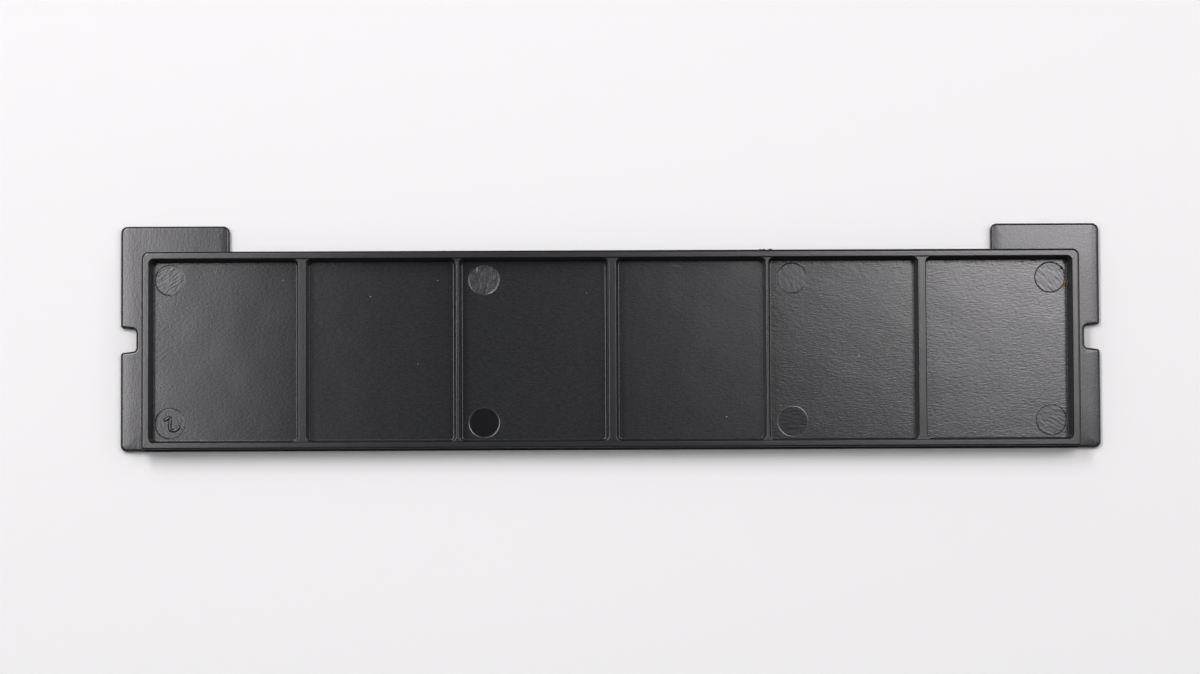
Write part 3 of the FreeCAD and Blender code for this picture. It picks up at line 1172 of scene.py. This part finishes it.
    def _add_sides(self, skin: Skin, rail: Loop) -> None:
        """Adds the plate's sides, which turn under in a quarter circle, and its back.

        Args:
            skin: The skin so far.
            rail: The rim's outer side at the plate.
        """
        plate = self.plate
        ear = plate.ear(self.tray.foot_corner)
        inner_corner = Path(ear.points[-1:], np.array([[-1.0, 1.0]]))
        right_ear = join(ear[1:-1], inner_corner)
        between = np.abs(rail.top.points[:, 0]) < plate.tongue_end - WELD
        around = join(rail.bottom, right_ear, rail.top[between], right_ear.mirrored())
        rows = [around.at(0, plate.top_height(around.points, 0.0))]
        for turn in np.linspace(0, QUARTER_TURN, plate.back_steps + 1):
            under = plate.back_edge * (1 - math.cos(turn))
            rows.append(around.at(-under, plate.back_edge * (1 - math.sin(turn))))
        skin.grid(np.stack(rows), ToolFinish.EAR, closed=True)
        skin.flat(ToolFinish.BACK, rows[-1])


@dataclass(frozen=True)
class CavityNumber:
    """The mould cavity's number, a 2 that stands proud of one pin mark. Its line is given upright."""

    x: float
    y: float
    height: float
    turn_degrees: float = 205.0
    hook_centre: tuple[float, float] = (-0.33, 0.65)
    hook_radii: tuple[float, float] = (0.65, 0.48)
    hook_degrees: tuple[float, float] = (180.0, -15.0)
    corner: tuple[float, float] = (-0.48, -0.86)
    base_end: tuple[float, float] = (0.61, -0.7)
    half_width: float = 0.24
    half_height: float = 0.22
    flatness: float = 2.4
    hook_steps: int = 30
    line_steps: int = 20

    def build(self) -> bpy.types.Mesh:
        """Two strokes: part of an ellipse that runs on in a straight neck, and a straight base.

        Returns:
            The mesh of the number, turned and set on its mark.
        """
        turns = np.radians(np.linspace(*self.hook_degrees, self.hook_steps))
        circle = np.column_stack([np.cos(turns), np.sin(turns)])
        hook = np.array(self.hook_centre) + circle * self.hook_radii
        neck = np.linspace(hook[-1], self.corner, self.line_steps)[1:]
        base = np.linspace(self.corner, self.base_end, self.line_steps)
        turn = math.radians(self.turn_degrees)
        rotation = np.array([[math.cos(turn), math.sin(turn)], [-math.sin(turn), math.cos(turn)]])
        forms = []
        for stroke in (np.concatenate([hook, neck]), base):
            plan = stroke @ rotation + (self.x, self.y)
            path = np.column_stack([plan, np.full(len(plan), self.height)])
            forms.append(ridge(path, self.half_width, self.half_height, flatness=self.flatness))
        return closed_forms("cavity_number", ToolFinish.PIN_EDGE, forms)


@dataclass(frozen=True)
class GateScar:
    """What is left where the gate was snapped off: ragged lumps along the rim's outer wall. Each lump has
    the X of its middle, half its length and how far it stands out."""

    wall: float
    middle_height: float
    lumps: tuple[tuple[float, float, float], ...]
    half_height: float = 0.5
    steps: int = 15

    def build(self) -> bpy.types.Mesh:
        """One ellipsoid for each lump, sunk in the wall to its middle.

        Returns:
            The mesh of the scar.
        """
        forms = []
        for middle, half_length, stand in self.lumps:
            start = (middle - half_length, self.wall, self.middle_height)
            end = (middle + half_length, self.wall, self.middle_height)
            path = np.linspace(start, end, self.steps)
            forms.append(ridge(path, stand, self.half_height, Ends.ELLIPSOID))
        return closed_forms("gate_scar", ToolFinish.PIN_EDGE, forms)


@dataclass(frozen=True)
class Stray:
    """One thin thing on the moulding: leading points of its line, half its width and half its height."""

    points: tuple[tuple[float, float, float], ...]
    half_width: float
    half_height: float
    ends: Ends = Ends.STROKE
    steps: int = 24

    def rings(self) -> Array:
        """The closed form along the line."""
        return ridge(bezier(self.points, self.steps), self.half_width, self.half_height, self.ends)


@dataclass(frozen=True)
class MouldedPlastic:
    """Black ABS, injection moulded in a tool that was ground and lightly polished.

    Carbon black leaves almost no body colour, so the eye sees the satin gloss: broad soft reflections,
    broken by the fine grain of the steel and by its grinding lines, and uneven where the floor sank a
    little as it cooled. Grain and lines are drawn two or three times as wide as they are, so that they
    show.
    """

    dark: str = "#0A0B0E"
    light: str = "#3C3E43"
    ior: float = 1.53
    grain_mm: float = 0.25
    grain_depth_um: float = 3.0
    plain_contrast: float = 1.0
    contrast_per_um: float = 0.09
    sink_mm: float = 7.0
    sink_depth_um: float = 24.0
    detail: float = 1.0

    def make(self) -> bpy.types.Material:
        """Builds the node material.

        Returns:
            The material, which reads the finish that each face carries.
        """
        material, tree = new_tree("moulded_black_abs")
        place = add_node(tree, "ShaderNodeTexCoord").outputs["Object"]
        carried = []
        for name in (FINISH_ATTRIBUTE, LINE_ATTRIBUTE):
            vector = add_node(tree, "ShaderNodeAttribute", {"attribute_name": name}).outputs["Vector"]
            carried.extend(add_node(tree, "ShaderNodeSeparateXYZ", inputs={0: vector}).outputs)
        depth, roughness, turn, width, grey, narrowness = carried
        turned = add_node(
            tree, "ShaderNodeVectorRotate", {"rotation_type": "Z_AXIS"}, {"Vector": place, "Angle": turn}
        )
        squeeze = add_node(tree, "ShaderNodeCombineXYZ", inputs={"X": narrowness, "Y": 1.0, "Z": 1.0})
        drawn_out = add_node(tree, "ShaderNodeMapping", inputs={
            "Vector": turned.outputs[0], "Scale": squeeze.outputs[0],
        })
        per_metre = add_node(tree, "ShaderNodeMath", {"operation": "DIVIDE"}, {0: 1 / MM, 1: width})
        lines, grain, sink = (
            add_node(tree, "ShaderNodeTexNoise", inputs={
                "Vector": where, "Scale": scale, "Detail": self.detail,
            }).outputs["Fac"]
            for where, scale in (
                (drawn_out.outputs[0], per_metre.outputs[0]),
                (place, 1 / (self.grain_mm * MM)),
                (place, 1 / (self.sink_mm * MM)),
            )
        )
        # The relief is the sum of the three patterns, each times its depth in micrometres.
        height = 0.0
        for pattern, deep in ((lines, depth), (grain, self.grain_depth_um), (sink, self.sink_depth_um)):
            height = add_node(tree, "ShaderNodeMath", {"operation": "MULTIPLY_ADD"}, {
                0: pattern, 1: deep, 2: height,
            }).outputs[0]
        bump = add_node(tree, "ShaderNodeBump", inputs={
            "Strength": 1.0, "Distance": MICROMETRE, "Height": height,
        })
        # Lines and grain each sway about a half, so their sum less one sways about nought. Deeper lines
        # sway the grey further.
        less_one = add_node(tree, "ShaderNodeMath", {"operation": "SUBTRACT"}, {0: lines, 1: 1.0})
        sway = add_node(tree, "ShaderNodeMath", {"operation": "ADD"}, {0: less_one.outputs[0], 1: grain})
        contrast = add_node(tree, "ShaderNodeMath", {"operation": "MULTIPLY_ADD"}, {
            0: depth, 1: self.contrast_per_um, 2: self.plain_contrast,
        })
        streaks = add_node(tree, "ShaderNodeMath", {"operation": "MULTIPLY_ADD"}, {
            0: sway.outputs[0], 1: contrast.outputs[0], 2: 1.0,
        })
        # The grey that each face carries is also painted light and shade: high on the foot fillets and side
        # walls as a painted highlight and painted light, low on the head walls as painted shade.
        greyed = add_node(tree, "ShaderNodeMath", {"operation": "MULTIPLY", "use_clamp": True}, {
            0: streaks.outputs[0], 1: grey,
        })
        colour = add_node(tree, "ShaderNodeMix", {"data_type": "RGBA"}, {
            "Factor": greyed.outputs[0], "A": linear(self.dark), "B": linear(self.light),
        })
        shader = add_node(tree, "ShaderNodeBsdfPrincipled", inputs={
            "Base Color": colour.outputs["Result"], "Roughness": roughness, "IOR": self.ior,
            "Normal": bump.outputs[0],
        })
        add_node(tree, "ShaderNodeOutputMaterial", inputs={"Surface": shader.outputs[0]})
        return material


@dataclass(frozen=True)
class MattFinish:
    """A dry matt surface: no clear reflections, and a colour that goes unevenly from one shade to another.

    Its patches are drawn several times as wide as they are, so that they show.
    """

    name: str
    dark: str
    light: str
    patch_mm: float = 0.12
    detail: float = 2.0
    roughness: float = 0.85
    specular_level: float = 0.5

    def make(self) -> bpy.types.Material:
        """Builds the node material.

        Returns:
            The material.
        """
        material, tree = new_tree(self.name)
        place = add_node(tree, "ShaderNodeTexCoord").outputs["Object"]
        patches = add_node(tree, "ShaderNodeTexNoise", inputs={
            "Vector": place, "Scale": 1 / (self.patch_mm * MM), "Detail": self.detail,
        })
        colour = add_node(tree, "ShaderNodeMix", {"data_type": "RGBA"}, {
            "Factor": patches.outputs["Fac"], "A": linear(self.dark), "B": linear(self.light),
        })
        shader = add_node(tree, "ShaderNodeBsdfPrincipled", inputs={
            "Base Color": colour.outputs["Result"], "Roughness": self.roughness,
            "Specular IOR Level": self.specular_level,
        })
        add_node(tree, "ShaderNodeOutputMaterial", inputs={"Surface": shader.outputs[0]})
        return material


@dataclass(frozen=True)
class Glow:
    """A level soft light that shines down: full brightness in its middle, falling off as a bell curve.

    Its radiance is the peak times e to the power of minus half the squared distance from the middle,
    measured in spreads; a spread of nothing gives an even light.
    """

    name: str
    centre: tuple[float, float, float]
    size: tuple[float, float]
    peak: float
    spread: tuple[float, float] | None = None
    colour: tuple[float, float, float] = (1.0, 0.968, 0.985)

    def add(self) -> None:
        """Adds the light. An area light of pi watts per square metre has a radiance of one."""
        light = bpy.data.lights.new(self.name, "AREA")
        light.shape = "RECTANGLE"
        light.size, light.size_y = self.size
        light.energy = math.pi * self.size[0] * self.size[1] * self.peak
        light.color = self.colour
        lamp = bpy.data.objects.new(self.name, light)
        lamp.location = self.centre
        bpy.context.scene.collection.objects.link(lamp)
        if self.spread:
            self._fade(light)

    def _fade(self, light: bpy.types.Light) -> None:
        """Gives the light its bell curve.

        Args:
            light: The even light so far.
        """
        light.use_nodes = True
        tree = light.node_tree
        tree.nodes.clear()
        place = add_node(tree, "ShaderNodeNewGeometry").outputs["Position"]
        offset = add_node(tree, "ShaderNodeVectorMath", {"operation": "SUBTRACT"}, {
            0: place, 1: self.centre,
        })
        scaled = add_node(tree, "ShaderNodeVectorMath", {"operation": "DIVIDE"}, {
            0: offset.outputs[0], 1: (*self.spread, 1.0),
        })
        squared = add_node(tree, "ShaderNodeVectorMath", {"operation": "DOT_PRODUCT"}, {
            0: scaled.outputs[0], 1: scaled.outputs[0],
        })
        power = add_node(tree, "ShaderNodeMath", {"operation": "MULTIPLY"}, {
            0: squared.outputs["Value"], 1: -0.5,
        })
        bell = add_node(tree, "ShaderNodeMath", {"operation": "EXPONENT"}, {0: power.outputs[0]})
        emission = add_node(tree, "ShaderNodeEmission", inputs={"Strength": bell.outputs[0]})
        add_node(tree, "ShaderNodeOutputLight", inputs={"Surface": emission.outputs[0]})


@dataclass(frozen=True)
class Studio:
    """The table, the soft lights over it and the camera that looks down. Lengths here are metres."""

    table_colour: str = "#F4F5F5"
    table_half: float = 3.0
    table_roughness: float = 0.9
    sky_colour: str = "#FFFFFF"
    sky: float = 0.18
    glows: tuple[Glow, ...] = (
        Glow("right_glow", (0.151, 0.139, 0.6), size=(0.3, 0.4), peak=15.5, spread=(0.053, 0.066)),
        Glow("left_glow", (-0.195, 0.22, 0.6), size=(0.26, 0.5), peak=16.8, spread=(0.043, 0.22)),
        Glow("right_panel", (0.55, 0.1, 0.6), size=(0.4, 0.5), peak=2.1),
        Glow("left_panel", (-0.55, 0.1, 0.6), size=(0.4, 0.5), peak=1.4),
    )
    camera_place: tuple[float, float, float] = (-0.00799, -0.03174, 0.53388)
    camera_turn: tuple[float, float, float] = (0.0596, -0.0119, -0.0049)
    lens: float = 117.57
    sensor: float = 36.0
    clip_start: float = 0.01

    def build(self) -> None:
        """Adds the table, the lights, the sky and the camera."""
        self._add_table()
        for glow in self.glows:
            glow.add()
        world = bpy.data.worlds.new("soft_room")
        world.use_nodes = True
        background = world.node_tree.nodes["Background"]
        background.inputs["Strength"].default_value = self.sky
        background.inputs["Color"].default_value = linear(self.sky_colour)
        bpy.context.scene.world = world
        camera = bpy.data.objects.new("camera", bpy.data.cameras.new("camera"))
        camera.data.lens = self.lens
        camera.data.sensor_width = self.sensor
        camera.data.clip_start = self.clip_start
        camera.location = self.camera_place
        camera.rotation_euler = self.camera_turn
        bpy.context.scene.collection.objects.link(camera)
        bpy.context.scene.camera = camera
        bpy.context.scene.view_settings.view_transform = "Standard"

    def _add_table(self) -> None:
        """Adds the pale table top, level with the blank's back face."""
        half = self.table_half
        mesh = bpy.data.meshes.new("table_top")
        corners = [(-half, -half, 0), (half, -half, 0), (half, half, 0), (-half, half, 0)]
        mesh.from_pydata(corners, [], [(0, 1, 2, 3)])
        material, tree = new_tree("matt_paper_table")
        shader = add_node(tree, "ShaderNodeBsdfPrincipled", inputs={
            "Base Color": linear(self.table_colour), "Roughness": self.table_roughness,
            "Specular IOR Level": 0.0,
        })
        add_node(tree, "ShaderNodeOutputMaterial", inputs={"Surface": shader.outputs[0]})
        mesh.materials.append(material)
        table = bpy.data.objects.new("table_top", mesh)
        bpy.context.scene.collection.objects.link(table)


# Black ABS from the spark-eroded sides of the tool's slots. The pitted steel leaves it matt: it stays dark
# from nearly every side and only greys a little.
ERODED_ABS = MattFinish(
    "eroded_black_abs", "#15161A", "#292A2F", patch_mm=0.25, detail=1.0, roughness=0.9, specular_level=0.0
)
# The moulding's own ABS where something hard rubbed it: torn, dry and pale grey against the gloss.
SCUFFED_ABS = MattFinish("scuffed_black_abs", "#4A4B50", "#7C7D82")
# A cotton fibre: dull and warm brown, uneven where it twists.
BROWN_COTTON = MattFinish("brown_cotton_fibre", "#6E5233", "#B08A5C")
# Dust off paper: chalky, and pale enough to show as dots on the black.
PAPER_DUST = MattFinish("pale_paper_dust", "#7E7763", "#B5AC92")

# The ejector pins stand in pairs, an upper and a lower one, from left to right.
PIN_XS = (-59.95, -17.285, 24.685, 59.95)
PIN_LOW, PIN_HIGH = -11.55, 7.95
PINS = (
    PinMark(PIN_XS[0], PIN_HIGH, ToolFinish.PIN_RISING, heavy_degrees=215, fade=1.0),
    PinMark(PIN_XS[0], PIN_LOW, ToolFinish.PIN_STEEP, heavy_degrees=200, fade=0.5),
    PinMark(PIN_XS[1], PIN_HIGH, ToolFinish.PIN_ROUGH, depth=0.04, groove=0.0),
    PinMark(PIN_XS[1], PIN_LOW, ToolFinish.PIN_POLISHED, depth=0.014, groove=0.008),
    PinMark(PIN_XS[2], PIN_HIGH, ToolFinish.PIN_STEEP, depth=0.01, groove=0.03),
    PinMark(
        PIN_XS[2], PIN_LOW, ToolFinish.PIN_LEVEL, depth=-0.003, groove=0.0, slope=(0.006, 0.004), lip=0.14
    ),
    PinMark(PIN_XS[3], PIN_HIGH, ToolFinish.PIN_FALLING, groove=0.06, fade=0.4),
    PinMark(PIN_XS[3], PIN_LOW, ToolFinish.PIN_SHALLOW, fade=0.3),
)
NUMBERED_PIN = PINS[1]
# How far the middle of the gate scar lies under the rim's top, and its lumps.
SCAR_DROP = 0.6
GATE_LUMPS = ((20.25, 0.2, 0.08), (20.7, 0.25, 0.1), (21.6, 0.32, 0.13))
# A scratch on a floor, a nick beside a pin mark, and one fibre on the floor with one up the end wall.
SCRATCH = Stray(
    ((7.8, 9.8, 1.2), (8.6, 9.84, 1.2), (9.65, 9.56, 1.2)), half_width=0.07, half_height=0.03
)
NICK = Stray(
    ((61.35, 9.35, 1.18), (61.52, 9.2, 1.18), (61.75, 9.1, 1.18)),
    half_width=0.2, half_height=0.16, ends=Ends.ELLIPSOID,
)
FIBRES = (
    Stray(((61.7, 6.4, 1.28), (61.82, 6.9, 1.36), (62.1, 7.4, 1.42)), half_width=0.07, half_height=0.07),
    Stray(((62.08, 6.6, 1.4), (62.18, 7.0, 2.2), (62.28, 7.45, 3.1)), half_width=0.075, half_height=0.075),
)
# Half a speck's width and height over half its length, then X, Y and half the length of each speck.
SPECK_WIDTH, SPECK_HEIGHT = 0.7, 0.6
SPECKS = (
    (-23.55, 7.81, 0.07), (-32.71, 5.63, 0.1), (-3.31, 6.03, 0.07), (-26.29, -3.56, 0.08),
    (15.69, -10.93, 0.12), (23.04, -9.43, 0.08), (33.81, -2.71, 0.14), (-44.62, 7.89, 0.07),
)


def main() -> None:
    """Builds the blank and its studio, and notes the sizes."""
    logging.basicConfig(level=logging.INFO, format="%(name)s: %(message)s")
    low, high = (np.array(corner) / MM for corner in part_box(NODE))
    plate = Plate(half_length=high[0], foot=low[1], tip=high[1])
    tray = Tray(plate, rim_top=high[2])
    plastic = MouldedPlastic().make()
    body = add_piece(Blank(plate, tray, PINS).build(), plastic, ERODED_ABS.make())
    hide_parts(NODE)
    number = CavityNumber(NUMBERED_PIN.x, NUMBERED_PIN.y, tray.floor - NUMBERED_PIN.depth)
    add_piece(number.build(), plastic)
    scar_height = tray.rim_top - SCAR_DROP
    scar = GateScar(plate.tray_head - tray.drift(scar_height), scar_height, GATE_LUMPS)
    add_piece(scar.build(), plastic)
    dust = [
        Stray(
            ((x - half, y, tray.floor), (x + half, y, tray.floor)),
            half_width=half * SPECK_WIDTH, half_height=half * SPECK_HEIGHT, ends=Ends.ELLIPSOID,
        )
        for x, y, half in SPECKS
    ]
    for name, finish, strays, material in (
        ("pin_nick", ToolFinish.PIN_POLISHED, [NICK], plastic),
        ("floor_scratch", ToolFinish.PIN_EDGE, [SCRATCH], SCUFFED_ABS.make()),
        ("stray_fibre", ToolFinish.PIN_EDGE, FIBRES, BROWN_COTTON.make()),
        ("dust_specks", ToolFinish.PIN_EDGE, dust, PAPER_DUST.make()),
    ):
        add_piece(closed_forms(name, finish, [stray.rings() for stray in strays]), material)
    Studio().build()


if __name__ == "__main__":
    main()
